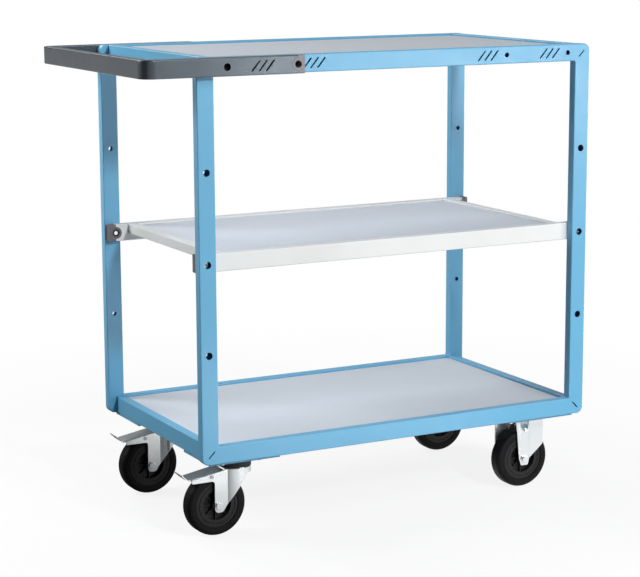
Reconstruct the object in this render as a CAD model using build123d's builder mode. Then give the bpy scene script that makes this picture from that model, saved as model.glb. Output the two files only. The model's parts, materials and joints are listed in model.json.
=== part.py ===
from build123d import *
import os
from math import atan2, cos, degrees, hypot, pi

# Shelf trolley. Millimetres, +Z up, +X away from the push handle, -Y the front side.
# The origin is on the floor, in the middle of the overall length and depth.

# Frame
frame_length = 885.0
frame_depth = 500.0
frame_height = 780.0
frame_corner_radius = 14.0
frame_fold_radius = 3.0
cross_tube_inset = 18.0

# Rectangular tube of the frame, the shelf sides and the handle
tube_face = 35.0
tube_depth = 20.0
tube_wall = 2.0
tube_edge_radius = 2.0

# Bolts and nuts
bolt_diameter = 8.0
bolt_head_diameter = 13.0
bolt_head_height = 8.0
bolt_socket_size = 6.0
bolt_socket_depth = 4.0
hex_head_height = 5.3
nut_size = 13.0
nut_height = 6.5
nut_recess = 2.0
bolt_end_proud = 1.0
thread_clearance = 0.05
bolt_clearance = 0.5
head_clearance = 0.5

# Shelf holes in the posts, and holes and slanted slots in the top rails and the handle
shelf_hole_pitch = 175.0
rail_hole_inset = 54.0
rail_hole_pitch = 148.0
rail_hole_clearance = 1.0
slot_count = 3
slot_width = 3.2
slot_height = 20.0
slot_lean = 17.0
slot_pitch = 15.0
slot_group_offset = 44.5
corner_slot_length = 18.0
corner_slot_width = 2.6
corner_slot_inset = 20.0

# Boards and the ledge angles under them
panel_thickness = 18.0
panel_drop = 4.5
panel_clearance = 1.0
panel_edge_chamfer = 0.6
ledge_leg = 15.0
ledge_wall = 2.0

# Middle shelf
shelf_rail_size = 20.0
shelf_rail_inset = 46.0
shelf_panel_thickness = 12.0
shelf_panel_drop = 4.0

# End caps of the shelf tubes and of the handle
cap_length = 14.0
cap_nose_radius = 12.5
cap_plug_length = 28.0
cap_clearance = 0.2

# Push handle
handle_reach = 115.0
handle_inner_bend = 5.0

# Wheels
wheel_diameter = 125.0
tyre_width = 34.0
tyre_thickness = 17.0
tyre_shoulder_radius = 9.0
rim_recess = 2.0
rim_band = 15.5
rim_lip = 7.0
rim_groove_width = 1.2
rim_groove_depth = 1.5
web_thickness = 6.0
rib_count = 8
rib_thickness = 3.0
rib_recess = 7.0
hub_wall = 4.5
hub_proud = 3.0
bush_wall = 2.5
press_clearance = 0.03
axle_diameter = 8.0
axle_clearance = 0.05
axle_head_size = 13.0
axle_head_height = 5.3
axle_nut_height = 8.0
axle_end_proud = 2.0

# Caster plates and the bearer plates above them
plate_thickness = 3.5
plate_corner_radius = 8.0
plate_hole_spacing_x = 80.0
plate_end_margin = 12.5
plate_side_margin = 10.0
plate_bolt_gap = 0.5
caster_gap = 15.5
caster_side_inset = 82.0
caster_offset = 46.0
caster_bolt_proud = 3.0
bearer_thickness = 5.0
bearer_end_inset = 20.0
bearer_side_inset = 10.0
bearer_margin = 12.5

# Swivel fork, pressed from sheet
sheet = 2.5
side_clearance = 0.5
wheel_headroom = 7.5
head_margin = 4.0
head_flare = 26.0
shoulder_height = 11.0
shoulder_reach = 14.0
foot_front = 9.0
foot_rear = 8.0
foot_drop = 13.5
foot_radius = 8.0
arm_depth = 21.0
arm_reach = 57.0
arm_tip_height = 7.5
arm_corner_radius = 6.0
arm_tip_radius = 3.0

# Swivel bearing
ball_diameter = 7.0
ball_spacing = 8.0
race_clearance = 0.3
race_gap = 4.0
race_floor = 3.2
race_roof = 10.7
race_inner_radius = 15.5
race_outer_radius = 28.0
dust_ring_gap = 1.0
dust_ring_wall = 4.0
dust_ring_lift = 2.0
kingpin_diameter = 12.0
kingpin_head_radius = 10.0
kingpin_head_height = 4.0
kingpin_rivet_depth = 2.0
kingpin_clearance = 0.05
kingpin_head_gap = 0.3

# Brake pedal, measured from its pins
pin_setback = 14.0
pin_drop = 11.5
pin_diameter = 5.0
pin_head_diameter = 7.5
pin_head_height = 1.5
pin_clearance = 0.05
pedal_sheet = 2.0
pedal_side_clearance = 0.6
pedal_front = 26.0
pedal_front_rise = 10.6
pedal_bend_back = 48.0
pedal_bend_fall = 2.6
pedal_tip_back = 61.0
pedal_tip_rise = 9.5
pedal_bend_radius = 6.0
pedal_ear_radius = 7.0
shoe_front = 16.0
shoe_back = 28.0
shoe_width = 28.0
shoe_gap = 4.7

# Fixed bracket: each leg reaches further to one side than to the other, and has a strip pressed out at the axle
leg_long_side = 47.0
leg_short_side = 21.0
leg_waist_rise = 28.5
leg_axle_side = 12.5
leg_foot_side = 8.5
leg_foot_radius = 4.0
leg_strip_width = 22.0
leg_strip_height = 1.5
leg_strip_flank = 2.5
dent_radius = 11.5
dent_length = 30.5
dent_depth = 16.0

# Fits worked out from the sizes above
bolt_hole_diameter = bolt_diameter + 2 * bolt_clearance
access_hole_diameter = bolt_head_diameter + 2 * head_clearance
rail_hole_diameter = bolt_diameter + 2 * rail_hole_clearance
handle_outer_bend = handle_inner_bend + tube_depth
rim_diameter = wheel_diameter - 2 * tyre_thickness
rim_width = tyre_width - 2 * rim_recess
hub_width = tyre_width + 2 * hub_proud
bush_diameter = axle_diameter + 2 * bush_wall
hub_diameter = bush_diameter + 2 * hub_wall
axle_height = wheel_diameter / 2
fork_inner = hub_width / 2 + side_clearance
fork_outer = fork_inner + sheet
plate_hole_spacing_y = 2 * (fork_outer + plate_bolt_gap + nut_size / 2)
plate_length = plate_hole_spacing_x + 2 * plate_end_margin
plate_width = plate_hole_spacing_y + 2 * plate_side_margin
ball_seat_radius = ball_diameter / 2 + race_clearance
ball_circle_radius = (race_inner_radius + race_outer_radius) / 2
ball_count = int(2 * pi * ball_circle_radius / ball_spacing)
head_radius = race_outer_radius + head_margin

# Heights, from the floor up
crown_height = wheel_diameter + wheel_headroom + sheet
ball_height = crown_height + race_floor + ball_seat_radius
plate_underside = ball_height + ball_seat_radius + race_roof
caster_height = plate_underside + plate_thickness
z_low = caster_height + bearer_thickness
z_high = z_low + frame_height
z_middle = (z_low + z_high) / 2
z_top_rail = z_high - tube_face / 2
z_bottom_rail = z_low + tube_face / 2

# Places along the length and the depth
overall_length = frame_length + handle_reach
x_right = overall_length / 2
x_left = x_right - frame_length
x_middle = (x_left + x_right) / 2
y_face = frame_depth / 2
y_inner = y_face - tube_depth
post_centre = tube_face / 2
rail_holes_from_end = (rail_hole_inset, rail_hole_inset + rail_hole_pitch)
caster_inset = cross_tube_inset + tube_depth + caster_gap + plate_length / 2
bearer_length = caster_inset + plate_length / 2 + bearer_margin - bearer_end_inset
bearer_width = caster_side_inset + plate_width / 2 + bearer_margin - bearer_side_inset

SIDES = {"front": -1, "rear": 1}
ENDS = {"left": -1, "right": 1}


def end_x(end, inset):
    """The place that lies an inset in from the left (-1) or right (1) end of the frame."""
    return x_right - inset if end > 0 else x_left + inset


def upright(y):
    """A vertical plane at depth y, whose local axes are X and Z and whose normal is -Y."""
    return Plane.XZ.offset(-y)


def save(piece, name):
    piece.label = name
    export_step(piece, f"parts/{name}.step")


os.makedirs("parts", exist_ok=True)

post_holes = [
    (end_x(end, post_centre), z_middle + row * shelf_hole_pitch) for end in ENDS.values() for row in (-1, 0, 1)
]
shelf_bolt_places = [(end_x(end, post_centre), z_middle) for end in ENDS.values()]
rail_holes = [(end_x(end, inset), z_top_rail) for end in ENDS.values() for inset in rail_holes_from_end]
rail_slot_places = [
    (end_x(end, inset + slot_group_offset), z_top_rail) for end in ENDS.values() for inset in rail_holes_from_end
]
handle_bolt_places = [(end_x(-1, inset), z_top_rail) for inset in rail_holes_from_end]
handle_slot_place = (end_x(-1, rail_hole_inset + rail_hole_pitch / 2), z_top_rail)
caster_places = {
    (side, end): (end_x(ENDS[end], caster_inset), SIDES[side] * (y_face - caster_side_inset))
    for side in SIDES
    for end in ENDS
}


def slot_positions(centre):
    """Centres of the slots of one group."""
    first = -(slot_count - 1) / 2
    return [(centre[0] + (first + i) * slot_pitch, centre[1]) for i in range(slot_count)]


slot_length = hypot(slot_height, slot_lean)
slot_angle = degrees(atan2(slot_height, slot_lean))

# Fasteners that are used in several places. Each stands on its seat at z = 0, with its head above.
head_bolt_lengths = {
    "shelf": tube_wall + tube_depth - nut_recess + bolt_end_proud,
    "handle": 2 * tube_wall + nut_height,
}


def socket_bolt(length):
    with BuildPart() as bolt:
        with BuildSketch():
            Circle(bolt_head_diameter / 2)
        extrude(amount=bolt_head_height)
        with BuildSketch(Plane.XY.offset(bolt_head_height)):
            RegularPolygon(bolt_socket_size / 2, 6, major_radius=False)
        extrude(amount=-bolt_socket_depth, mode=Mode.SUBTRACT)
        with BuildSketch():
            Circle(bolt_diameter / 2)
        extrude(amount=-length)
    return bolt.part


def hex_bolt(size, head, shank_diameter, length):
    with BuildPart() as bolt:
        with BuildSketch():
            RegularPolygon(size / 2, 6, major_radius=False)
        extrude(amount=head)
        with BuildSketch():
            Circle(shank_diameter / 2)
        extrude(amount=-length)
    return bolt.part


def hex_nut(size, height, bore):
    with BuildPart() as nut:
        with BuildSketch():
            RegularPolygon(size / 2, 6, major_radius=False)
            Circle(bore / 2, mode=Mode.SUBTRACT)
        extrude(amount=height)
    return nut.part


m8_nut = hex_nut(nut_size, nut_height, bolt_diameter + 2 * thread_clearance)

# Side frames


def side_frame(side):
    y_tube = side * (y_face - tube_depth / 2)
    with BuildPart() as frame:
        with BuildSketch(upright(y_tube)):
            with Locations((x_middle, z_middle)):
                RectangleRounded(frame_length, frame_height, frame_corner_radius)
                RectangleRounded(
                    frame_length - 2 * tube_face,
                    frame_height - 2 * tube_face,
                    frame_fold_radius,
                    mode=Mode.SUBTRACT,
                )
        extrude(amount=tube_depth / 2, both=True)
        flat_faces = frame.faces().sort_by(Axis.Y)
        fillet(flat_faces[0].edges() + flat_faces[-1].edges(), tube_edge_radius)
        with BuildSketch(upright(y_tube)):
            with Locations((x_middle, z_middle)):
                RectangleRounded(
                    frame_length - 2 * tube_wall,
                    frame_height - 2 * tube_wall,
                    frame_corner_radius - tube_wall,
                )
                RectangleRounded(
                    frame_length - 2 * (tube_face - tube_wall),
                    frame_height - 2 * (tube_face - tube_wall),
                    frame_fold_radius + tube_wall,
                    mode=Mode.SUBTRACT,
                )
        extrude(amount=tube_depth / 2 - tube_wall, both=True, mode=Mode.SUBTRACT)
        with BuildSketch(upright(side * y_face)):
            with Locations(*post_holes):
                Circle(access_hole_diameter / 2)
            with Locations(*rail_holes):
                Circle(rail_hole_diameter / 2)
            for place in rail_slot_places:
                with Locations(*slot_positions(place)):
                    SlotOverall(slot_length, slot_width, rotation=-side * slot_angle)
            for end in ENDS.values():
                for z, up in ((z_high - corner_slot_inset, 1), (z_low + corner_slot_inset, -1)):
                    with Locations((end_x(end, corner_slot_inset), z)):
                        SlotOverall(corner_slot_length, corner_slot_width, rotation=end * up * 45)
        extrude(amount=side * tube_depth / 2, mode=Mode.SUBTRACT)
        with BuildSketch(upright(y_tube)):
            with Locations(*post_holes):
                Circle(bolt_hole_diameter / 2)
        extrude(amount=side * tube_depth, mode=Mode.SUBTRACT)
    return frame.part


for side_name, side in SIDES.items():
    save(side_frame(side), f"{side_name}_side_frame")

# Cross tubes, between the inner faces of the side frames


def cross_tube(x, z, width, height, length):
    with BuildPart() as tube:
        with BuildSketch(upright(-length / 2)):
            with Locations((x, z)):
                RectangleRounded(width, height, tube_edge_radius)
                Rectangle(width - 2 * tube_wall, height - 2 * tube_wall, mode=Mode.SUBTRACT)
        extrude(amount=-length)
    return tube.part


cross_tube_x = {name: end_x(end, cross_tube_inset + tube_depth / 2) for name, end in ENDS.items()}
for level, z in (("top", z_top_rail), ("bottom", z_bottom_rail)):
    for end_name in ENDS:
        tube = cross_tube(cross_tube_x[end_name], z, tube_depth, tube_face, 2 * y_inner)
        save(tube, f"{level}_{end_name}_cross_tube")

# Boards and their ledges


def board(length, width, top, thickness):
    with BuildPart() as panel:
        with BuildSketch(Plane.XY.offset(top)):
            with Locations((x_middle, 0)):
                Rectangle(length, width)
        extrude(amount=-thickness)
        chamfer(panel.faces().sort_by(Axis.Z)[-1].edges(), panel_edge_chamfer)
    return panel.part


def ledge_pair(length, y_seat, top, leg):
    """Two angles, on the inner faces at +-y_seat, that carry a board at the height top."""
    with BuildPart() as ledges:
        for side in SIDES.values():
            with BuildSketch(Plane.YZ.offset(x_middle)):
                with BuildLine():
                    Polyline(
                        (side * y_seat, top),
                        (side * (y_seat - leg), top),
                        (side * (y_seat - leg), top - ledge_wall),
                        (side * (y_seat - ledge_wall), top - ledge_wall),
                        (side * (y_seat - ledge_wall), top - leg),
                        (side * y_seat, top - leg),
                        close=True,
                    )
                make_face()
            extrude(amount=length / 2, both=True)
    return ledges.part


bay_length = frame_length - 2 * (cross_tube_inset + tube_depth)
panel_tops = {"top": z_high - panel_drop, "bottom": z_low + tube_face - panel_drop}
for level, top in panel_tops.items():
    panel = board(bay_length - 2 * panel_clearance, 2 * (y_inner - panel_clearance), top, panel_thickness)
    save(panel, f"{level}_panel")

with BuildPart() as panel_ledges:
    for top in panel_tops.values():
        add(ledge_pair(bay_length, y_inner, top - panel_thickness, tube_face - panel_drop - panel_thickness))
save(panel_ledges.part, "panel_ledges")

# Middle shelf, between the posts

y_shelf_inner = y_inner - tube_depth
shelf_end = post_centre
notch_radius = cap_nose_radius + cap_clearance


def shelf_tube(side):
    length = frame_length - 2 * shelf_end
    y_tube = side * (y_inner - tube_depth / 2)
    with BuildPart() as tube:
        with BuildSketch(Plane.YZ.offset(x_left + shelf_end)):
            with Locations((y_tube, z_middle)):
                RectangleRounded(tube_depth, tube_face, tube_edge_radius)
                Rectangle(tube_depth - 2 * tube_wall, tube_face - 2 * tube_wall, mode=Mode.SUBTRACT)
        extrude(amount=length)
        with BuildSketch(upright(y_tube)):
            with Locations(*shelf_bolt_places):
                Circle(notch_radius)
        extrude(amount=tube_depth, both=True, mode=Mode.SUBTRACT)
    return tube.part


def end_cap(head_pocket_diameter, head_pocket_depth):
    """A cap whose bolt axis is Z at the origin, with the closed end towards -X and the pocket on top.

    The block carries on the tube's section, the nose fills the round notch and the plug goes into the tube.
    """
    with BuildPart() as cap:
        with BuildSketch(Plane.YZ):
            RectangleRounded(tube_face, tube_depth, tube_edge_radius)
        extrude(amount=-cap_length)
        with BuildSketch(Plane.XY):
            Circle(cap_nose_radius)
        extrude(amount=tube_depth / 2, both=True)
        with BuildSketch(Plane.YZ):
            bore_clearance = 2 * (tube_wall + cap_clearance)
            Rectangle(tube_face - bore_clearance, tube_depth - bore_clearance)
        extrude(amount=cap_plug_length)
        with BuildSketch(Plane.XY.offset(tube_depth / 2)):
            Circle(head_pocket_diameter / 2)
        extrude(amount=-head_pocket_depth, mode=Mode.SUBTRACT)
        with BuildSketch(Plane.XY):
            Circle(bolt_hole_diameter / 2)
        extrude(amount=tube_depth, both=True, mode=Mode.SUBTRACT)
    return cap.part


def cap_placement(x, y, z, pocket_side, end):
    """Places a cap with its pocket towards +-Y and its closed end towards the given end of the frame."""
    return Location(Plane(origin=(x, y, z), x_dir=(-end, 0, 0), z_dir=(0, pocket_side, 0)))


for side_name, side in SIDES.items():
    save(shelf_tube(side), f"shelf_{side_name}_tube")

shelf_top = z_middle + tube_face / 2
for end_name, end in ENDS.items():
    rail_x = end_x(end, shelf_rail_inset + shelf_rail_size / 2)
    rail_z = shelf_top - shelf_rail_size / 2
    rail = cross_tube(rail_x, rail_z, shelf_rail_size, shelf_rail_size, 2 * y_shelf_inner)
    save(rail, f"shelf_{end_name}_end_rail")

shelf_bay_length = frame_length - 2 * (shelf_rail_inset + shelf_rail_size)
shelf_panel_top = shelf_top - shelf_panel_drop
shelf_panel = board(
    shelf_bay_length - 2 * panel_clearance,
    2 * (y_shelf_inner - panel_clearance),
    shelf_panel_top,
    shelf_panel_thickness,
)
save(shelf_panel, "shelf_panel")
shelf_ledges = ledge_pair(shelf_bay_length, y_shelf_inner, shelf_panel_top - shelf_panel_thickness, ledge_leg)
save(shelf_ledges, "shelf_panel_ledges")

nut_pocket_diameter = nut_size / cos(pi / 6) + 2 * cap_clearance
shelf_cap = end_cap(nut_pocket_diameter, nut_recess + nut_height)
shelf_bolt = socket_bolt(head_bolt_lengths["shelf"])
with BuildPart() as shelf_end_caps:
    for side in SIDES.values():
        for end in ENDS.values():
            y_cap = side * (y_inner - tube_depth / 2)
            with Locations(cap_placement(end_x(end, shelf_end), y_cap, z_middle, -side, end)):
                add(shelf_cap)
save(shelf_end_caps.part, "shelf_end_caps")

with BuildPart() as shelf_bolts:
    for side in SIDES.values():
        for x, z in shelf_bolt_places:
            with Locations(Location((x, side * (y_inner + tube_wall), z), (-side * 90, 0, 0))):
                add(shelf_bolt)
save(shelf_bolts.part, "shelf_bolts")

with BuildPart() as shelf_nuts:
    for side in SIDES.values():
        for x, z in shelf_bolt_places:
            with Locations(Location((x, side * (y_shelf_inner + nut_recess), z), (-side * 90, 0, 0))):
                add(m8_nut)
save(shelf_nuts.part, "shelf_nuts")

# Push handle, on the outer faces of the top rails

handle_end = end_x(-1, rail_holes_from_end[1])
handle_tip = x_left - handle_reach
y_handle = y_face + tube_depth


def handle_outline(inset):
    """Corner points and bend radii of the outer and the inner edge of the U, moved into the tube by an inset."""
    outer_x = handle_tip + inset
    outer_y = y_handle - inset
    inner_x = handle_tip + tube_depth - inset
    inner_y = y_face + inset
    outer = [(handle_end, -outer_y), (outer_x, -outer_y), (outer_x, outer_y), (handle_end, outer_y)]
    inner = [(handle_end, -inner_y), (inner_x, -inner_y), (inner_x, inner_y), (handle_end, inner_y)]
    return outer, handle_outer_bend - inset, inner, handle_inner_bend + inset


def handle_plan(inset):
    outer, outer_radius, inner, inner_radius = handle_outline(inset)
    with BuildSketch(Plane.XY.offset(z_top_rail)) as plan:
        with BuildLine():
            FilletPolyline(*outer, radius=outer_radius)
            Line(outer[-1], inner[-1])
            FilletPolyline(*inner, radius=inner_radius)
            Line(inner[0], outer[0])
        make_face()
    return plan.sketch


handle_shape = handle_plan(0)
handle_bore = handle_plan(tube_wall)
with BuildPart() as push_handle:
    extrude(handle_shape, amount=tube_face / 2, both=True)
    flat_faces = push_handle.faces().sort_by(Axis.Z)
    long_edges = flat_faces[0].edges() + flat_faces[-1].edges()
    fillet(long_edges.filter_by(lambda edge: edge.center().X < handle_end - tube_wall), tube_edge_radius)
    extrude(handle_bore, amount=tube_face / 2 - tube_wall, both=True, mode=Mode.SUBTRACT)
    for side in SIDES.values():
        with BuildSketch(upright(side * y_handle)):
            with Locations(handle_bolt_places[0]):
                Circle(access_hole_diameter / 2)
            with Locations(*slot_positions(handle_slot_place)):
                SlotOverall(slot_length, slot_width, rotation=-side * slot_angle)
        extrude(amount=side * tube_depth / 2, mode=Mode.SUBTRACT)
        with BuildSketch(upright(side * y_handle)):
            with Locations(handle_bolt_places[0]):
                Circle(bolt_hole_diameter / 2)
            with Locations(handle_bolt_places[1]):
                Circle(notch_radius)
        extrude(amount=side * tube_depth, mode=Mode.SUBTRACT)
save(push_handle.part, "push_handle")

handle_cap = end_cap(access_hole_diameter, tube_depth - tube_wall)
handle_bolt = socket_bolt(head_bolt_lengths["handle"])
with BuildPart() as handle_end_caps:
    for side in SIDES.values():
        x, z = handle_bolt_places[1]
        with Locations(cap_placement(x, side * (y_face + tube_depth / 2), z, side, 1)):
            add(handle_cap)
save(handle_end_caps.part, "handle_end_caps")

with BuildPart() as handle_bolts:
    for side in SIDES.values():
        for x, z in handle_bolt_places:
            with Locations(Location((x, side * (y_face + tube_wall), z), (-side * 90, 0, 0))):
                add(handle_bolt)
save(handle_bolts.part, "handle_bolts")

with BuildPart() as rail_weld_nuts:
    for side in SIDES.values():
        for x, z in rail_holes:
            with Locations(Location((x, side * (y_face - tube_wall), z), (side * 90, 0, 0))):
                add(m8_nut)
save(rail_weld_nuts.part, "rail_weld_nuts")

# Bearer plates under the corners of the frame, with the holes of the caster plates


def bearers(side_name):
    y = SIDES[side_name] * (y_face - bearer_side_inset - bearer_width / 2)
    with BuildPart() as plates:
        with BuildSketch(Plane.XY.offset(caster_height)):
            for end_name, end in ENDS.items():
                with Locations((end_x(end, bearer_end_inset + bearer_length / 2), y)):
                    Rectangle(bearer_length, bearer_width)
                with Locations(caster_places[side_name, end_name]):
                    with GridLocations(plate_hole_spacing_x, plate_hole_spacing_y, 2, 2):
                        Circle(bolt_hole_diameter / 2, mode=Mode.SUBTRACT)
        extrude(amount=bearer_thickness)
    return plates.part


for side_name in SIDES:
    save(bearers(side_name), f"{side_name}_caster_bearers")

caster_bolt_length = plate_thickness + bearer_thickness + nut_height + caster_bolt_proud
caster_bolt = hex_bolt(nut_size, hex_head_height, bolt_diameter, caster_bolt_length)
with BuildPart() as caster_bolts:
    for place in caster_places.values():
        with Locations(place):
            with GridLocations(plate_hole_spacing_x, plate_hole_spacing_y, 2, 2):
                with Locations((0, 0, z_low)):
                    add(caster_bolt)
save(caster_bolts.part, "caster_bolts")

with BuildPart() as caster_nuts:
    for place in caster_places.values():
        with Locations(place):
            with GridLocations(plate_hole_spacing_x, plate_hole_spacing_y, 2, 2):
                with Locations((0, 0, plate_underside - nut_height)):
                    add(m8_nut)
save(caster_nuts.part, "caster_nuts")

# Swivel caster. Each piece is made about the swivel axis, Z at the origin, with the wheel towards -X.

axle_x = -caster_offset
lower_race_top = ball_height - race_gap / 2
upper_race_low = ball_height + race_gap / 2
dust_ring_radius = race_outer_radius + dust_ring_gap


def plate_sketch(centre_hole):
    with BuildSketch(Plane.XY.offset(plate_underside)) as plate:
        RectangleRounded(plate_length, plate_width, plate_corner_radius)
        with GridLocations(plate_hole_spacing_x, plate_hole_spacing_y, 2, 2):
            Circle(bolt_hole_diameter / 2, mode=Mode.SUBTRACT)
        if centre_hole:
            Circle(centre_hole, mode=Mode.SUBTRACT)
    return plate.sketch


kingpin_hole = kingpin_diameter / 2 + kingpin_clearance
swivel_plate_outline = plate_sketch(kingpin_hole)
with BuildPart() as swivel_plate:
    extrude(swivel_plate_outline, amount=plate_thickness)
    with BuildSketch(Plane.XZ):
        with BuildLine():
            Polyline(
                (race_inner_radius, plate_underside),
                (race_inner_radius, upper_race_low),
                (race_outer_radius, upper_race_low),
                (race_outer_radius, plate_underside),
                close=True,
            )
        make_face()
        with Locations((ball_circle_radius, ball_height)):
            Circle(ball_seat_radius, mode=Mode.SUBTRACT)
    revolve(axis=Axis.Z)
    with BuildSketch(Plane.XY.offset(caster_height)):
        Circle(kingpin_head_radius + kingpin_clearance)
    extrude(amount=-kingpin_rivet_depth, mode=Mode.SUBTRACT)

with BuildPart() as dust_ring:
    with BuildSketch(Plane.XY.offset(plate_underside)):
        Circle(dust_ring_radius + dust_ring_wall)
        Circle(dust_ring_radius, mode=Mode.SUBTRACT)
    extrude(amount=crown_height + dust_ring_lift - plate_underside)

kingpin_head_top = crown_height - sheet - kingpin_head_gap
with BuildPart() as kingpin:
    with BuildSketch(Plane.XY.offset(kingpin_head_top)):
        Circle(kingpin_head_radius)
    extrude(amount=-kingpin_head_height)
    with BuildSketch(Plane.XY.offset(kingpin_head_top)):
        Circle(kingpin_diameter / 2)
    extrude(amount=caster_height - kingpin_head_top)
    with BuildSketch(Plane.XY.offset(caster_height)):
        Circle(kingpin_head_radius)
    extrude(amount=-kingpin_rivet_depth)

with BuildPart() as swivel_balls:
    with PolarLocations(ball_circle_radius, ball_count):
        with Locations((0, 0, ball_height)):
            Sphere(ball_diameter / 2)


def fork_plan(inset, rear):
    """Plan of the fork: two parallel legs that swell into a round head."""
    leg = fork_outer - inset
    head = head_radius - inset
    with BuildSketch() as plan:
        with BuildLine():
            TangentArc((0, head), (-head_flare, leg), tangent=(-1, 0))
            Polyline((-head_flare, leg), (rear, leg), (rear, -leg), (-head_flare, -leg))
            TangentArc((0, -head), (-head_flare, -leg), tangent=(-1, 0))
            ThreePointArc((0, -head), (head, 0), (0, head))
        make_face()
    return plan.sketch


pin_x = axle_x - pin_setback
pin_height = crown_height - pin_drop
foot_low = axle_height - foot_drop
arm_tip = axle_x - arm_reach
arm_low = crown_height - arm_depth
fork_corners = [
    ((head_radius, crown_height), 0),
    ((head_radius, crown_height - shoulder_height), 0),
    ((shoulder_reach, crown_height - shoulder_height), arm_corner_radius),
    ((axle_x + foot_front, foot_low), foot_radius),
    ((axle_x - foot_rear, foot_low), foot_radius),
    ((axle_x - foot_rear, arm_low), arm_corner_radius),
    ((arm_tip, arm_low), arm_tip_radius),
    ((arm_tip, arm_low + arm_tip_height), arm_tip_radius),
    ((-head_flare, crown_height), 0),
]
fork_shell = fork_plan(0, arm_tip)
fork_hollow = fork_plan(sheet, arm_tip - sheet)
with BuildPart() as fork:
    extrude(fork_shell, amount=crown_height)
    extrude(fork_hollow, amount=crown_height - sheet, mode=Mode.SUBTRACT)
    with BuildSketch(Plane.XZ):
        with BuildLine():
            FilletPolyline(*[c[0] for c in fork_corners], radius=[c[1] for c in fork_corners], close=True)
        make_face()
    extrude(amount=head_radius, both=True, mode=Mode.INTERSECT)
    with BuildSketch(Plane.XY.offset(crown_height)):
        with Locations(((arm_tip - head_flare) / 2, 0)):
            Rectangle(-head_flare - arm_tip, 2 * fork_inner)
    extrude(amount=-sheet, mode=Mode.SUBTRACT)
    with BuildSketch(Plane.XZ):
        with BuildLine():
            Polyline(
                (race_inner_radius, crown_height),
                (race_outer_radius, crown_height),
                (race_outer_radius, lower_race_top),
                (race_inner_radius, lower_race_top),
                close=True,
            )
        make_face()
        with Locations((ball_circle_radius, ball_height)):
            Circle(ball_seat_radius, mode=Mode.SUBTRACT)
    revolve(axis=Axis.Z)
    with BuildSketch(Plane.XY.offset(crown_height)):
        Circle(kingpin_hole)
    extrude(amount=sheet, both=True, mode=Mode.SUBTRACT)
    with BuildSketch(Plane.XZ):
        with Locations((axle_x, axle_height)):
            Circle(axle_diameter / 2 + axle_clearance)
        with Locations((pin_x, pin_height)):
            Circle(pin_diameter / 2 + pin_clearance)
    extrude(amount=head_radius, both=True, mode=Mode.SUBTRACT)

# Brake pedal: a bent plate between the arms of the fork, with two ears on its pins

pedal_half_width = fork_inner - pedal_side_clearance
pedal_front_x = pin_x + pedal_front
pedal_front_height = pin_height + pedal_front_rise
pedal_bend_x = pin_x - pedal_bend_back
pedal_bend_height = pin_height - pedal_bend_fall
pedal_run = pedal_front_x - pedal_bend_x
pedal_rise = pedal_front_height - pedal_bend_height
pedal_drop = pedal_sheet * hypot(pedal_run, pedal_rise) / pedal_run


def pedal_underside(x):
    """Height of the lower face of the pedal's plate at x."""
    return pedal_front_height - pedal_drop + (x - pedal_front_x) * pedal_rise / pedal_run


with BuildPart() as pedal:
    with BuildSketch(Plane.XZ):
        with BuildLine():
            FilletPolyline(
                (pedal_front_x, pedal_front_height),
                (pedal_bend_x, pedal_bend_height),
                (pin_x - pedal_tip_back, pin_height + pedal_tip_rise),
                radius=pedal_bend_radius,
            )
            offset(amount=pedal_sheet, side=Side.LEFT)
        make_face()
    extrude(amount=pedal_half_width, both=True)
    for side in SIDES.values():
        with BuildSketch(upright(side * pedal_half_width)):
            with BuildLine():
                Polyline(
                    (pin_x - pedal_ear_radius, pin_height),
                    (pin_x - pedal_ear_radius, pedal_underside(pin_x - pedal_ear_radius)),
                    (pedal_front_x, pedal_underside(pedal_front_x)),
                    (pin_x + pedal_ear_radius, pin_height),
                )
                ThreePointArc(
                    (pin_x + pedal_ear_radius, pin_height),
                    (pin_x, pin_height - pedal_ear_radius),
                    (pin_x - pedal_ear_radius, pin_height),
                )
            make_face()
            with Locations((pin_x, pin_height)):
                Circle(pin_diameter / 2 + pin_clearance, mode=Mode.SUBTRACT)
        extrude(amount=side * pedal_sheet)

ear_inner = pedal_half_width - pedal_sheet
with BuildPart() as pedal_pins:
    for side in SIDES.values():
        with BuildSketch(upright(side * ear_inner)):
            with Locations((pin_x, pin_height)):
                Circle(pin_diameter / 2)
        extrude(amount=-side * (fork_outer - ear_inner))
        with BuildSketch(upright(side * fork_outer)):
            with Locations((pin_x, pin_height)):
                Circle(pin_head_diameter / 2)
        extrude(amount=-side * pin_head_height)

shoe_inner_x = pin_x - shoe_front
shoe_outer_x = pin_x - shoe_back
with BuildPart() as brake_shoe:
    with BuildSketch(Plane.XZ):
        with BuildLine():
            Polyline(
                (shoe_outer_x, axle_height),
                (shoe_outer_x, pedal_underside(shoe_outer_x)),
                (shoe_inner_x, pedal_underside(shoe_inner_x)),
                (shoe_inner_x, axle_height),
                close=True,
            )
        make_face()
        with Locations((axle_x, axle_height)):
            Circle(wheel_diameter / 2 + shoe_gap, mode=Mode.SUBTRACT)
    extrude(amount=shoe_width / 2, both=True)

# Wheel, about its axle, which lies along Y through the origin

with BuildPart() as tyre:
    with BuildSketch(Plane.XY) as tyre_section:
        with Locations(((rim_diameter / 2 + press_clearance + wheel_diameter / 2) / 2, 0)):
            Rectangle((wheel_diameter - rim_diameter) / 2 - press_clearance, tyre_width)
        fillet(tyre_section.vertices().group_by(Axis.X)[-1], tyre_shoulder_radius)
    revolve(axis=Axis.Y)

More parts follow.
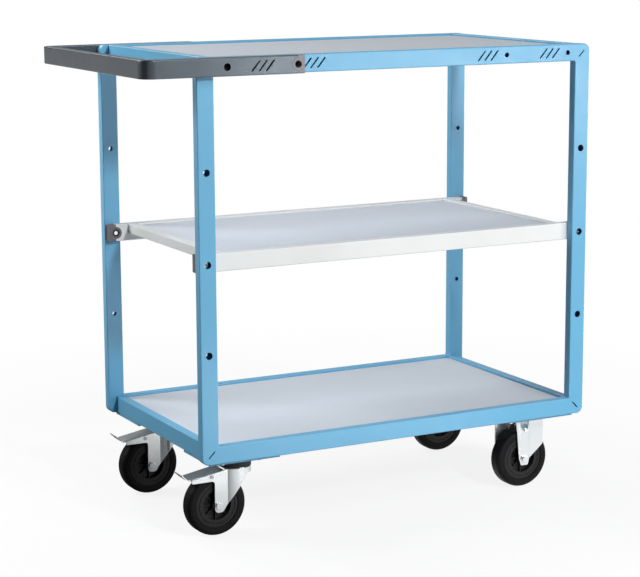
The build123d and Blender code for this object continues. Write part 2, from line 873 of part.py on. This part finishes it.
rib_inner_radius = (hub_diameter - hub_wall) / 2
rib_outer_radius = (rim_diameter - rim_band) / 2
with BuildPart() as rim:
    with BuildSketch(Plane.XY):
        with Locations((rim_diameter / 2 - rim_band / 2, 0)):
            Rectangle(rim_band, rim_width)
        with Locations(*[(rim_diameter / 2 - rim_lip, side * rim_width / 2) for side in SIDES.values()]):
            Rectangle(rim_groove_width, 2 * rim_groove_depth, mode=Mode.SUBTRACT)
        with Locations(((rim_diameter / 2 + bush_diameter / 2) / 2, 0)):
            Rectangle((rim_diameter - bush_diameter) / 2, web_thickness)
        with Locations(((hub_diameter + bush_diameter) / 4, 0)):
            Rectangle((hub_diameter - bush_diameter) / 2, hub_width)
    revolve(axis=Axis.Y)
    with BuildSketch(Plane.XZ):
        with PolarLocations((rib_inner_radius + rib_outer_radius) / 2, rib_count):
            Rectangle(rib_outer_radius - rib_inner_radius, rib_thickness)
    extrude(amount=rim_width / 2 - rib_recess, both=True)

with BuildPart() as bush:
    with BuildSketch(Plane.XZ):
        Circle(bush_diameter / 2 - press_clearance)
        Circle(axle_diameter / 2 + axle_clearance, mode=Mode.SUBTRACT)
    extrude(amount=hub_width / 2, both=True)

axle_length = 2 * fork_outer + axle_nut_height + axle_end_proud
axle_bolt = hex_bolt(axle_head_size, axle_head_height, axle_diameter, axle_length)
axle_nut = hex_nut(axle_head_size, axle_nut_height, axle_diameter + 2 * axle_clearance)

# Fixed bracket, about the vertical line through its axle

leg_corners = [
    ((-leg_short_side, plate_underside), 0),
    ((-leg_axle_side, axle_height), 0),
    ((-leg_foot_side, foot_low), leg_foot_radius),
    ((leg_foot_side, foot_low), leg_foot_radius),
    ((leg_axle_side, axle_height), 0),
    ((leg_long_side, axle_height + leg_waist_rise), arm_corner_radius),
    ((leg_long_side, plate_underside), 0),
]
wing_outer = fork_outer - leg_strip_height
strip_edge = leg_strip_width / 2
strip_foot = strip_edge + leg_strip_flank
with BuildPart() as bracket_leg:
    with BuildSketch(Plane.XY.offset(foot_low)):
        with BuildLine():
            outside = Polyline(
                (-leg_short_side, -wing_outer),
                (-strip_foot, -wing_outer),
                (-strip_edge, -fork_outer),
                (strip_edge, -fork_outer),
                (strip_foot, -wing_outer),
                (leg_long_side, -wing_outer),
            )
            inside = Polyline(*[vertex + (0, sheet) for vertex in outside.vertices()])
            Line(outside @ 0, inside @ 0)
            Line(outside @ 1, inside @ 1)
        make_face()
    extrude(amount=plate_underside - foot_low)
    with BuildSketch(Plane.XZ):
        with BuildLine():
            FilletPolyline(*[c[0] for c in leg_corners], radius=[c[1] for c in leg_corners], close=True)
        make_face()
        with Locations((0, axle_height)):
            Circle(axle_diameter / 2 + axle_clearance, mode=Mode.SUBTRACT)
    extrude(amount=fork_outer, mode=Mode.INTERSECT)

# A dent runs from the strip's face to the plate, deeper towards the plate, around a leaning line
dent_line = Plane(
    origin=(0, -fork_outer - dent_radius, plate_underside - dent_length),
    x_dir=(1, 0, 0),
    z_dir=(0, dent_depth, dent_length),
)
with BuildPart() as dent:
    with BuildSketch(dent_line):
        Circle(dent_radius)
    extrude(amount=2 * dent_length)

with BuildPart() as dent_wall:
    with BuildSketch(dent_line):
        Circle(dent_radius + sheet)
    extrude(amount=2 * dent_length)
    with BuildSketch(Plane.XY.offset(plate_underside - dent_length)):
        with Locations((0, -fork_outer)):
            Rectangle(2 * (dent_radius + sheet), fork_outer, align=(Align.CENTER, Align.MIN))
    extrude(amount=dent_length, mode=Mode.INTERSECT)

bracket_plate = plate_sketch(None)
with BuildPart() as bracket:
    extrude(bracket_plate, amount=plate_thickness)
    with PolarLocations(0, 2):
        add(bracket_leg.part)
        add(dent_wall.part)
        add(dent.part, mode=Mode.SUBTRACT)

# Casters in their places


def placed(piece, x, y, z=0):
    with BuildPart() as copy:
        with Locations((x, y, z)):
            add(piece)
    return copy.part


def axle_fastener(piece, x, y, start):
    """An axle bolt or nut whose seat is on the fork, facing the front for the bolt and the rear for the nut."""
    with BuildPart() as copy:
        with Locations(Location((x, y + start * fork_outer, axle_height), (-start * 90, 0, 0))):
            add(piece)
    return copy.part


with BuildPart() as swivel_kingpins:
    for side_name in SIDES:
        add(placed(kingpin.part, *caster_places[side_name, "left"]))
save(swivel_kingpins.part, "swivel_kingpins")

with BuildPart() as swivel_dust_rings:
    for side_name in SIDES:
        add(placed(dust_ring.part, *caster_places[side_name, "left"]))
save(swivel_dust_rings.part, "swivel_dust_rings")

for side_name in SIDES:
    x, y = caster_places[side_name, "left"]
    caster = f"{side_name}_left"
    save(placed(swivel_plate.part, x, y), f"{caster}_swivel_plate")
    save(placed(swivel_balls.part, x, y), f"{caster}_swivel_balls")
    save(placed(fork.part, x, y), f"{caster}_fork")
    save(placed(pedal.part, x, y), f"{caster}_brake_pedal")
    save(placed(pedal_pins.part, x, y), f"{caster}_pedal_pins")
    save(placed(brake_shoe.part, x, y), f"{caster}_brake_shoe")
    save(axle_fastener(axle_bolt, x + axle_x, y, -1), f"{caster}_axle_bolt")
    save(axle_fastener(axle_nut, x + axle_x, y, 1), f"{caster}_axle_nut")
    save(placed(bracket.part, *caster_places[side_name, "right"]), f"{side_name}_right_fixed_bracket")

for name, piece, start in (("bolts", axle_bolt, -1), ("nuts", axle_nut, 1)):
    with BuildPart() as fixed_axle_group:
        for side_name in SIDES:
            x, y = caster_places[side_name, "right"]
            add(axle_fastener(piece, x, y, start))
    save(fixed_axle_group.part, f"fixed_axle_{name}")

for (side_name, end_name), (x, y) in caster_places.items():
    wheel_x = x + axle_x if end_name == "left" else x
    for name, piece in (("tyre", tyre), ("rim", rim), ("bush", bush)):
        save(placed(piece.part, wheel_x, y, axle_height), f"{side_name}_{end_name}_{name}")
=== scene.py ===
"""Looks of the shelf trolley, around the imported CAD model. Metres, in the CAD frame."""
import json
import math
from typing import NamedTuple

import bpy
from mathutils import Matrix, Vector

class Lamp(NamedTuple):
    """A soft lamp: its place, the point it faces, its width and height, and its power in watts."""

    place: tuple
    aim: tuple
    size: tuple
    power: float


# Camera at the photograph's viewing angle, in degrees: yaw from +Y towards +X, pitch above the
# horizon. The lens and the sensor are in millimetres.
CAMERA_PLACE = Vector((-1.8624, -3.5364, 1.1753))
CAMERA_YAW = 27.81
CAMERA_PITCH = -10.456
CAMERA_ROLL = -0.272
CAMERA_LENS = 109.15
CAMERA_SENSOR = 36.0

# The key and the top lamp light the front and the boards. The strip and the low lamp stand where
# the front rails mirror them, and give these their sheen. The others light the back and both ends.
LAMPS = {
    "key_lamp": Lamp((0.48, -4.0, 2.5), aim=(0.05, 0.0, 0.5), size=(0.45, 0.45), power=92.0),
    "top_lamp": Lamp((0.6, -3.4, 4.0), aim=(0.05, 0.0, 0.5), size=(1.8, 1.8), power=60.0),
    "back_lamp": Lamp((-0.8, 3.2, 3.2), aim=(0.05, 0.0, 0.6), size=(1.6, 1.6), power=60.0),
    "strip_lamp": Lamp((1.35, -2.12, 0.72), aim=(0.3, 0.0, 0.8), size=(1.1, 0.25), power=13.0),
    "low_lamp": Lamp((0.25, -1.0, 0.05), aim=(-0.05, -0.25, 0.17), size=(0.8, 0.1), power=1.6),
    "left_lamp": Lamp((-1.8, 0.9, 1.5), aim=(-0.38, 0.1, 0.6), size=(0.9, 0.9), power=31.0),
    "right_lamp": Lamp((2.6, 0.4, 0.6), aim=(0.5, 0.0, 0.5), size=(0.9, 0.9), power=16.0),
}

# Strength of the full white that gloss mirrors, the same as that of the camera's white
WHITE = 1.0

# The room that gloss mirrors goes from dim to white over a turn towards the right.
# A small share of it falls on the trolley as soft light.
ROOM_WHITE_SIDE = Vector((1.0, 0.0, 0.0))
ROOM_TURN = (0.1, 1.0)
ROOM_DIM = 0.12
ROOM_SOFT_LIGHT = 0.06

# The floor that the camera sees keeps a share of the shadow, and fades to white with the distance
# from the origin
FLOOR_SIZE = 40.0
FLOOR_ROUGHNESS = 0.9
FLOOR_SHADOW_SHARE = 0.15
FLOOR_FADE = (0.7, 1.8)

# The floor that gloss mirrors is white ahead of the trolley and behind its right side, and dim at
# the left. Each turn is the reach towards its side over which the floor goes from dim to white.
# All of the floor gives at least a soft light.
FLOOR_FRONT_SIDE = Vector((0.7, -0.7, 0.0))
FLOOR_FRONT_TURN = (-0.2, 0.3)
FLOOR_BACK_SIDE = Vector((0.8, 0.6, 0.0))
FLOOR_BACK_TURN = (0.1, 0.55)
FLOOR_BACK_WHITE = 0.9
FLOOR_DIM = 0.12
FLOOR_SOFT_LIGHT = 0.16

# Parts of the noise's range over which the colour and the gloss go from one end to the other
TONE_SPAN = (0.35, 0.65)
GLOSS_SPAN = (0.3, 0.7)


def srgb(red, green, blue):
    """The linear colour, with alpha, of an 8-bit screen colour, by the sRGB curve."""

    def linear(value):
        value /= 255
        return value / 12.92 if value <= 0.04045 else ((value + 0.055) / 1.055) ** 2.4

    return linear(red), linear(green), linear(blue), 1.0


def math_node(tree, operation, *values):
    """A math node whose inputs are outputs of other nodes or plain numbers."""
    node = tree.nodes.new("ShaderNodeMath")
    node.operation = operation
    for socket, value in zip(node.inputs, values):
        if isinstance(value, (int, float)):
            socket.default_value = value
        else:
            tree.links.new(value, socket)
    return node.outputs[0]


def map_range(tree, value, start, end):
    """Takes a value from the span start to the span end."""
    node = tree.nodes.new("ShaderNodeMapRange")
    for socket, number in zip(("From Min", "From Max", "To Min", "To Max"), (*start, *end)):
        node.inputs[socket].default_value = number
    tree.links.new(value, node.inputs["Value"])
    return node.outputs["Result"]


def along(tree, vector, side):
    """How far a vector reaches towards a side."""
    node = tree.nodes.new("ShaderNodeVectorMath")
    node.operation = "DOT_PRODUCT"
    node.inputs[1].default_value = side
    tree.links.new(vector, node.inputs[0])
    return node.outputs["Value"]


class Surface:
    """A node material with one Principled shader and patterns in the piece's own coordinates."""

    def __init__(self, name, settings):
        self.material = bpy.data.materials.new(name)
        self.material.use_nodes = True
        self.tree = self.material.node_tree
        self.shader = self.tree.nodes["Principled BSDF"]
        for socket, value in settings.items():
            self.shader.inputs[socket].default_value = value
        self.coordinates = self.tree.nodes.new("ShaderNodeTexCoord").outputs["Object"]
        self.normal = None

    def link(self, output, socket):
        """Joins a node's output to another node's socket."""
        self.tree.links.new(output, socket)

    def noise(self, size, detail, stretch=(1, 1, 1)):
        """Cloudy pattern with features of about the given size, drawn out along the axes."""
        mapping = self.tree.nodes.new("ShaderNodeMapping")
        mapping.inputs["Scale"].default_value = [1 / s for s in stretch]
        self.link(self.coordinates, mapping.inputs["Vector"])
        noise = self.tree.nodes.new("ShaderNodeTexNoise")
        noise.inputs["Scale"].default_value = 1 / size
        noise.inputs["Detail"].default_value = detail
        self.link(mapping.outputs["Vector"], noise.inputs["Vector"])
        return noise.outputs["Fac"]

    def tones(self, pattern, dark, light):
        """Base colour that goes from dark to light with the pattern."""
        ramp = self.tree.nodes.new("ShaderNodeValToRGB")
        for element, position, colour in zip(ramp.color_ramp.elements, TONE_SPAN, (dark, light)):
            element.position = position
            element.color = colour
        self.link(pattern, ramp.inputs["Fac"])
        self.link(ramp.outputs["Color"], self.shader.inputs["Base Color"])

    def gloss(self, pattern, roughness, spread):
        """Roughness that wavers around a value with the pattern."""
        span = (roughness - spread, roughness + spread)
        self.link(map_range(self.tree, pattern, GLOSS_SPAN, span), self.shader.inputs["Roughness"])

    def soft_edges(self, radius):
        """Edges that catch the light as if they were rounded by a radius."""
        bevel = self.tree.nodes.new("ShaderNodeBevel")
        bevel.inputs["Radius"].default_value = radius
        self.normal = bevel.outputs["Normal"]
        self.link(self.normal, self.shader.inputs["Normal"])

    def relief(self, pattern, depth, strength):
        """Fine bumps of the given depth over the soft edges."""
        bump = self.tree.nodes.new("ShaderNodeBump")
        bump.inputs["Distance"].default_value = depth
        bump.inputs["Strength"].default_value = strength
        self.link(pattern, bump.inputs["Height"])
        self.link(self.normal, bump.inputs["Normal"])
        self.link(bump.outputs["Normal"], self.shader.inputs["Normal"])


def powder_coat(name, dark, light, roughness, metallic=0.0):
    """Sprayed and baked paint: an orange peel of about a millimetre and a faint clouding."""
    paint = Surface(name, {"Metallic": metallic})
    paint.tones(paint.noise(size=0.16, detail=3.0), dark, light)
    paint.gloss(paint.noise(size=0.03, detail=3.0), roughness, spread=0.03)
    paint.soft_edges(radius=0.0006)
    paint.relief(paint.noise(size=0.0016, detail=2.0), depth=0.00003, strength=0.06)
    return paint.material


def laminate(name, dark, light):
    """Melamine face of a board: a fine mottle, and a pebbled satin gloss."""
    board = Surface(name, {"Specular IOR Level": 0.4})
    board.tones(board.noise(size=0.0025, detail=4.0), dark, light)
    board.gloss(board.noise(size=0.012, detail=4.0), roughness=0.66, spread=0.04)
    board.soft_edges(radius=0.0005)
    board.relief(board.noise(size=0.0012, detail=3.0), depth=0.00004, strength=0.4)
    return board.material


def zinc_plate(name, dark, light, roughness):
    """Slightly milky zinc on steel: faint clouds from the bath and drawn-out rolling marks."""
    zinc = Surface(name, {"Metallic": 0.85})
    zinc.tones(zinc.noise(size=0.05, detail=3.0), dark, light)
    zinc.gloss(zinc.noise(size=0.02, detail=3.0), roughness, spread=0.03)
    zinc.soft_edges(radius=0.0005)
    rolling_marks = zinc.noise(size=0.0006, detail=3.0, stretch=(1, 1, 9))
    zinc.relief(rolling_marks, depth=0.00001, strength=0.15)
    return zinc.material


def moulded(name, dark, light, roughness, specular=0.5, grain=0.0007):
    """Moulded plastic or rubber: a fine spark-eroded grain and slightly uneven gloss."""
    plastic = Surface(name, {"Specular IOR Level": specular})
    plastic.tones(plastic.noise(size=0.01, detail=4.0), dark, light)
    plastic.gloss(plastic.noise(size=0.006, detail=4.0), roughness, spread=0.05)
    plastic.soft_edges(radius=0.0006)
    plastic.relief(plastic.noise(grain, detail=3.0), depth=0.00004, strength=0.4)
    return plastic.material


def blackened_steel(name, dark, light):
    """Black oxide on a turned screw, mottled a little lighter at random."""
    steel = Surface(name, {"Metallic": 0.8})
    steel.tones(steel.noise(size=0.003, detail=4.0), dark, light)
    steel.gloss(steel.noise(size=0.002, detail=3.0), roughness=0.4, spread=0.1)
    steel.soft_edges(radius=0.0003)
    return steel.material


def finishes():
    """One material for each of the record's slots, with its darkest and its lightest tone."""
    return {
        "blue_paint": powder_coat(
            "blue_paint", srgb(103, 175, 213), srgb(107, 179, 217), roughness=0.33),
        "white_paint": powder_coat(
            "white_paint", srgb(228, 230, 230), srgb(234, 236, 236), roughness=0.34),
        "dark_paint": powder_coat(
            "dark_paint", srgb(82, 89, 95), srgb(87, 94, 100), roughness=0.3, metallic=0.9),
        "grey_board": laminate("grey_board", srgb(202, 209, 218), srgb(210, 217, 225)),
        "pale_board": laminate("pale_board", srgb(210, 216, 225), srgb(218, 224, 232)),
        "zinc": zinc_plate("zinc", srgb(228, 232, 234), srgb(233, 237, 238), roughness=0.2),
        "bearing_steel": zinc_plate(
            "bearing_steel", srgb(150, 152, 156), srgb(170, 172, 176), roughness=0.3),
        "dark_cap": moulded("dark_cap", srgb(102, 98, 101), srgb(112, 108, 111), roughness=0.55),
        "light_cap": moulded("light_cap", srgb(134, 133, 137), srgb(144, 143, 147), roughness=0.55),
        "shoe_rubber": moulded("shoe_rubber", srgb(30, 31, 32), srgb(38, 39, 40), roughness=0.65),
        "tyre_rubber": moulded(
            "tyre_rubber", srgb(17, 17, 19), srgb(23, 23, 25),
            roughness=0.5, specular=0.1, grain=0.0012),
        "rim_plastic": moulded(
            "rim_plastic", srgb(15, 15, 17), srgb(21, 21, 23), roughness=0.5, specular=0.3),
        "black_steel": blackened_steel("black_steel", srgb(28, 28, 31), srgb(52, 52, 56)),
    }


def dress(frame):
    """Gives every CAD node the finish of its slot."""
    made = finishes()
    for entry in frame["record"]["subparts"]:
        node = frame["nodes"][entry["node"]]
        node.data.materials.clear()
        node.data.materials.append(made[entry["material_slot"]])


def ray_kinds(tree):
    """1 for the camera's rays, and 1 for the rays of what mirrors or lets through."""
    path = tree.nodes.new("ShaderNodeLightPath")
    glossy, transmitted = path.outputs["Is Glossy Ray"], path.outputs["Is Transmission Ray"]
    return path.outputs["Is Camera Ray"], math_node(tree, "MAXIMUM", glossy, transmitted)


def light_world():
    """White for the camera. Gloss mirrors the room, and what is lit gets its softened light."""
    world = bpy.data.worlds.new("studio")
    bpy.context.scene.world = world
    world.use_nodes = True
    tree = world.node_tree
    direction = tree.nodes.new("ShaderNodeTexCoord").outputs["Generated"]
    room = map_range(tree, along(tree, direction, ROOM_WHITE_SIDE), ROOM_TURN, (ROOM_DIM, WHITE))
    camera, mirrored = ray_kinds(tree)
    share = map_range(tree, mirrored, (0.0, 1.0), (ROOM_SOFT_LIGHT, 1.0))
    strength = math_node(tree, "MAXIMUM", camera, math_node(tree, "MULTIPLY", room, share))
    background = tree.nodes["Background"]
    background.inputs["Color"].default_value = (1, 1, 1, 1)
    tree.links.new(strength, background.inputs["Strength"])


def floor_finish():
    """Pale with the shadow, and over into white. Gloss mirrors it white or dim by its side."""
    pale = Surface("pale_floor", {"Roughness": FLOOR_ROUGHNESS})
    tree = pale.tree
    pale.tones(pale.noise(size=0.4, detail=3.0), srgb(236, 236, 236), srgb(240, 240, 240))
    distance = tree.nodes.new("ShaderNodeVectorMath")
    distance.operation = "LENGTH"
    pale.link(pale.coordinates, distance.inputs[0])
    white_share = (1 - FLOOR_SHADOW_SHARE, 1.0)
    whiteness = map_range(tree, distance.outputs["Value"], FLOOR_FADE, white_share)
    camera, mirrored = ray_kinds(tree)

    ahead = along(tree, pale.coordinates, FLOOR_FRONT_SIDE)
    ahead = map_range(tree, ahead, FLOOR_FRONT_TURN, (FLOOR_DIM, WHITE))
    behind = along(tree, pale.coordinates, FLOOR_BACK_SIDE)
    behind = map_range(tree, behind, FLOOR_BACK_TURN, (FLOOR_DIM, FLOOR_BACK_WHITE))
    reflected = math_node(tree, "MULTIPLY", math_node(tree, "MAXIMUM", ahead, behind), mirrored)
    unseen = math_node(tree, "MAXIMUM", reflected, FLOOR_SOFT_LIGHT)
    white = tree.nodes.new("ShaderNodeEmission")
    pale.link(math_node(tree, "MAXIMUM", camera, unseen), white.inputs["Strength"])

    not_camera = math_node(tree, "SUBTRACT", 1.0, camera)
    mix = tree.nodes.new("ShaderNodeMixShader")
    pale.link(math_node(tree, "MAXIMUM", whiteness, not_camera), mix.inputs["Fac"])
    pale.link(pale.shader.outputs[0], mix.inputs[1])
    pale.link(white.outputs[0], mix.inputs[2])
    pale.link(mix.outputs[0], tree.nodes["Material Output"].inputs["Surface"])
    return pale.material


def make_floor():
    """A pale floor that keeps the trolley's shadow and goes over into the white background."""
    half = FLOOR_SIZE / 2
    corners = [(-half, -half, 0), (half, -half, 0), (half, half, 0), (-half, half, 0)]
    mesh = bpy.data.meshes.new("floor")
    mesh.from_pydata(corners, [], [(0, 1, 2, 3)])
    mesh.materials.append(floor_finish())
    floor = bpy.data.objects.new("floor", mesh)
    bpy.context.scene.collection.objects.link(floor)


def make_lamps():
    """Sets up the lamps, which the camera doesn't see."""
    for name, lamp in LAMPS.items():
        light = bpy.data.lights.new(name, "AREA")
        light.shape = "RECTANGLE"
        light.size, light.size_y = lamp.size
        light.energy = lamp.power
        holder = bpy.data.objects.new(name, light)
        holder.location = lamp.place
        beam = Vector(lamp.aim) - Vector(lamp.place)
        holder.rotation_euler = beam.to_track_quat("-Z", "Y").to_euler()
        holder.visible_camera = False
        bpy.context.scene.collection.objects.link(holder)


def make_camera():
    """Sets up the camera. Unturned it looks straight down, and a tilt of 90 degrees levels it."""
    data = bpy.data.cameras.new("camera")
    data.lens = CAMERA_LENS
    data.sensor_width = CAMERA_SENSOR
    camera = bpy.data.objects.new("camera", data)
    turn = Matrix.Rotation(-math.radians(CAMERA_YAW), 4, "Z")
    tilt = Matrix.Rotation(math.radians(90 + CAMERA_PITCH), 4, "X")
    roll = Matrix.Rotation(math.radians(CAMERA_ROLL), 4, "Z")
    camera.matrix_world = Matrix.Translation(CAMERA_PLACE) @ turn @ tilt @ roll
    bpy.context.scene.collection.objects.link(camera)
    bpy.context.scene.camera = camera


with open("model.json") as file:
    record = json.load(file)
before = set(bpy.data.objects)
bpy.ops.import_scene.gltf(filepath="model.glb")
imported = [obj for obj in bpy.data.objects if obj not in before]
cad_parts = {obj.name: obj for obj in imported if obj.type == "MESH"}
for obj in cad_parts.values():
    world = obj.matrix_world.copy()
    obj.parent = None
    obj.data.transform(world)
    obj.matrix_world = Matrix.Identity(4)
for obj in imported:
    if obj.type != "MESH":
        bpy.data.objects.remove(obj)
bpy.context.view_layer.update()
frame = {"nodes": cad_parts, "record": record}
dress(frame)
light_world()
make_floor()
make_lamps()
make_camera()
bpy.context.scene.view_settings.view_transform = "Standard"
